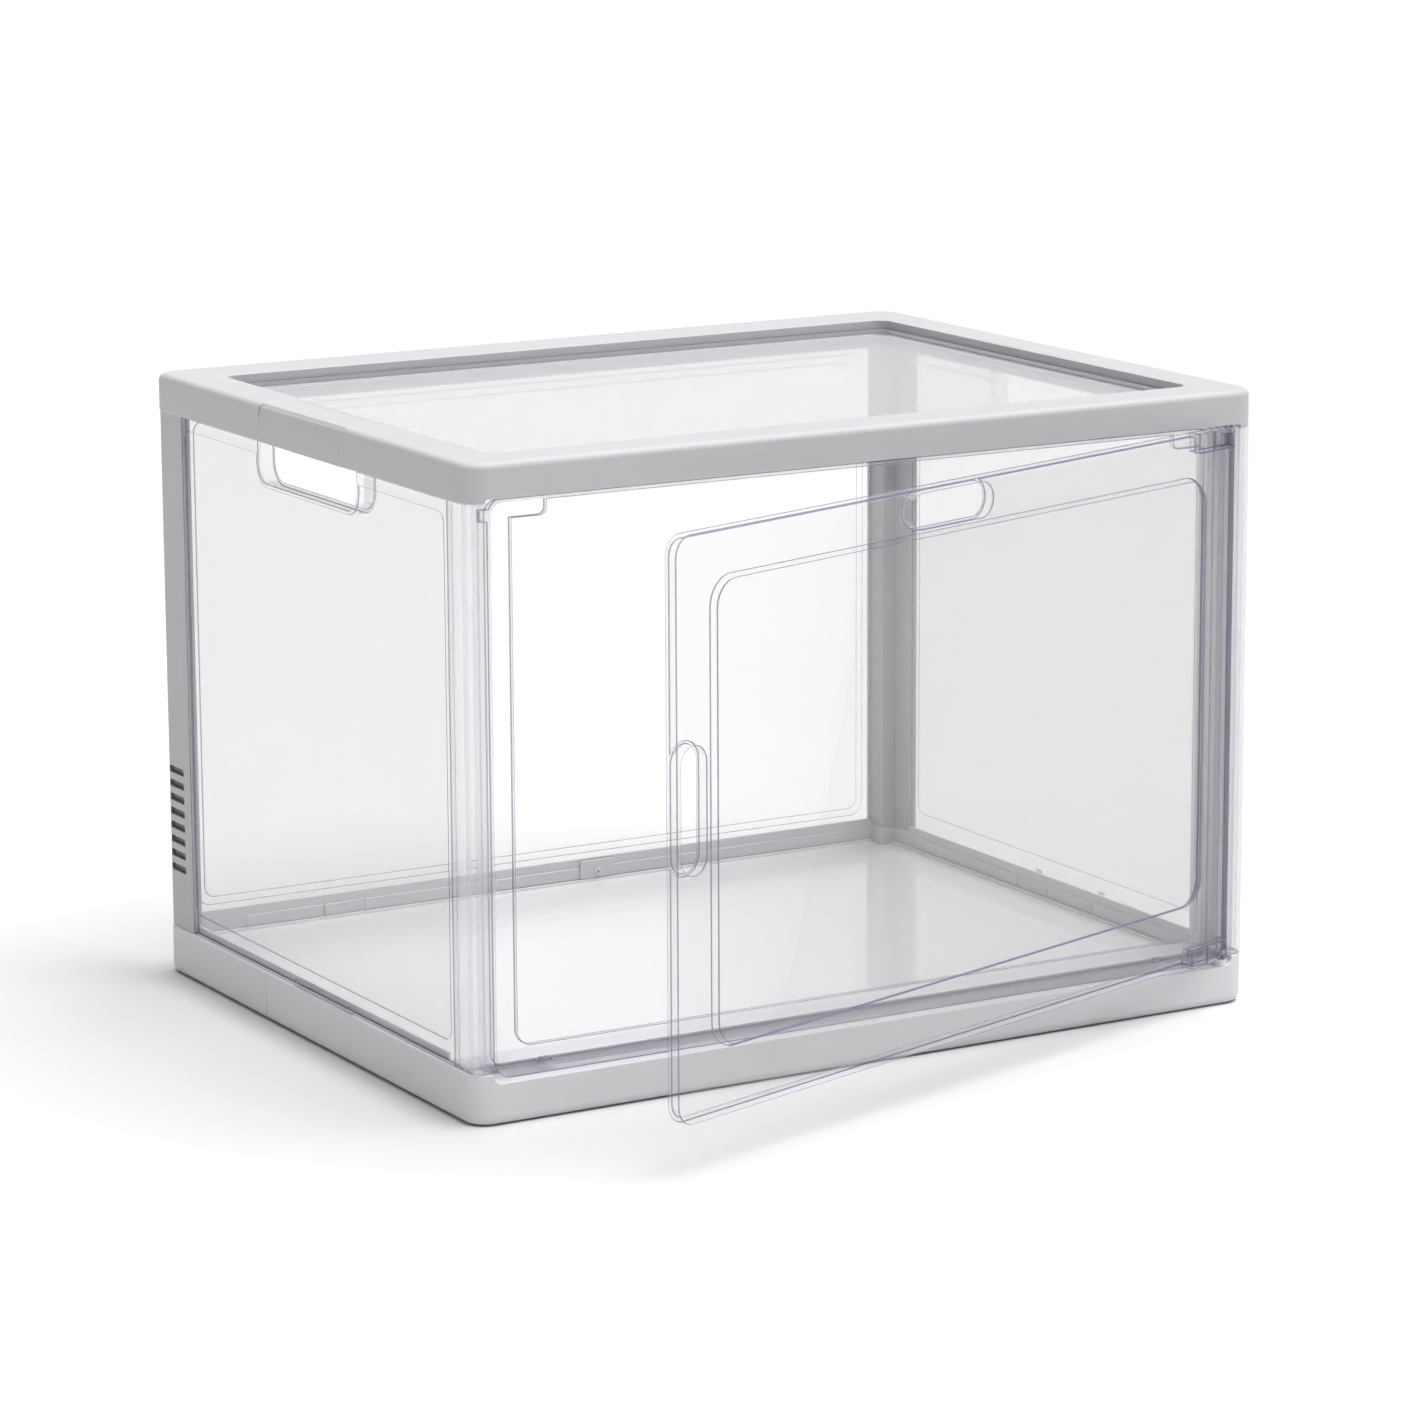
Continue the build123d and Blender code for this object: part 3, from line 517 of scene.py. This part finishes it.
class SHOEBOX_OT_grey(bpy.types.Operator):
    """Finish the grey mouldings"""

    bl_idname = "shoebox.grey"
    bl_label = "Grey mouldings"

    def execute(self, context):
        look = context.scene.shoebox_look
        for name, (factor, nodes) in GREY_GROUPS.items():
            materials = grey_set(look, name, factor)
            for node in nodes:
                grey_piece(node, look, "box_body", materials)
        grey_piece("floor_panel", look, "box_body", [glossy_sheet(look)])
        # painted shade: dark cups in the vent slots
        shade_liner = vent_painted_shade()
        for side in ("left", "right"):
            vent_shade_liners(side, shade_liner)
        return {"FINISHED"}


class SHOEBOX_OT_clear(bpy.types.Operator):
    """Finish the clear walls"""

    bl_idname = "shoebox.clear"
    bl_label = "Clear walls"

    def execute(self, context):
        look = context.scene.shoebox_look
        walls = clear_set(look, "clear_wall")
        for node in WALL_NODES:
            clear_piece(node, look, "box_body", walls, look.clear_rounding)
        front = clear_set(look, "clear_front")
        clear_piece("front_frame", look, "box_body", front, look.clear_rounding)
        posts = clear_set(look, "clear_post")
        for node in POST_NODES:
            clear_piece(node, look, "box_body", posts, look.rounding, False)
        window = clear_set(look, "clear_window")
        clear_piece("top_window", look, "box_body", window, look.clear_rounding)
        return {"FINISHED"}


class SHOEBOX_OT_door(bpy.types.Operator):
    """Finish the door"""

    bl_idname = "shoebox.door"
    bl_label = "Door"

    def execute(self, context):
        look = context.scene.shoebox_look
        materials = clear_set(look, "clear_door")
        for node in DOOR_NODES:
            clear_piece(node, look, "door_leaf", materials, look.clear_rounding)
        return {"FINISHED"}


class SHOEBOX_OT_stage(bpy.types.Operator):
    """Build the floor, the lights and the camera"""

    bl_idname = "shoebox.stage"
    bl_label = "Stage"

    def execute(self, context):
        look = context.scene.shoebox_look
        add_floor(look)
        add_camera(Vector((0, 0, (PACKED_BOUNDS[0].z + PACKED_BOUNDS[1].z) / 2)))
        add_sun("key_light", look.sun, SUN_SPREAD, SUN_TURN, SUN_HEIGHT)
        add_overhead_light(look)
        context.scene.view_settings.view_transform = "Standard"
        context.scene.view_settings.gamma = VIEW_GAMMA
        return {"FINISHED"}


class SHOEBOX_PT_panel(bpy.types.Panel):
    """Lists the steps that build the box"""

    bl_label = "Shoe Box"
    bl_idname = "SHOEBOX_PT_panel"
    bl_space_type = "VIEW_3D"
    bl_region_type = "UI"
    bl_category = "Shoe Box"

    def draw(self, context):
        for step in STEPS:
            self.layout.operator(step.bl_idname)


STEPS = [SHOEBOX_OT_grey, SHOEBOX_OT_clear, SHOEBOX_OT_door, SHOEBOX_OT_stage]
CLASSES = [Look, *STEPS, SHOEBOX_PT_panel]


def register():
    """Register the classes and the settings."""
    for made in CLASSES:
        bpy.utils.register_class(made)
    bpy.types.Scene.shoebox_look = PointerProperty(type=Look)


def unregister():
    """Remove the settings and the classes."""
    del bpy.types.Scene.shoebox_look
    for made in reversed(CLASSES):
        bpy.utils.unregister_class(made)


def main():
    """Build every piece in order."""
    register()
    for step in STEPS:
        space, name = step.bl_idname.split(".")
        getattr(getattr(bpy.ops, space), name)()


if __name__ == "__main__":
    main()
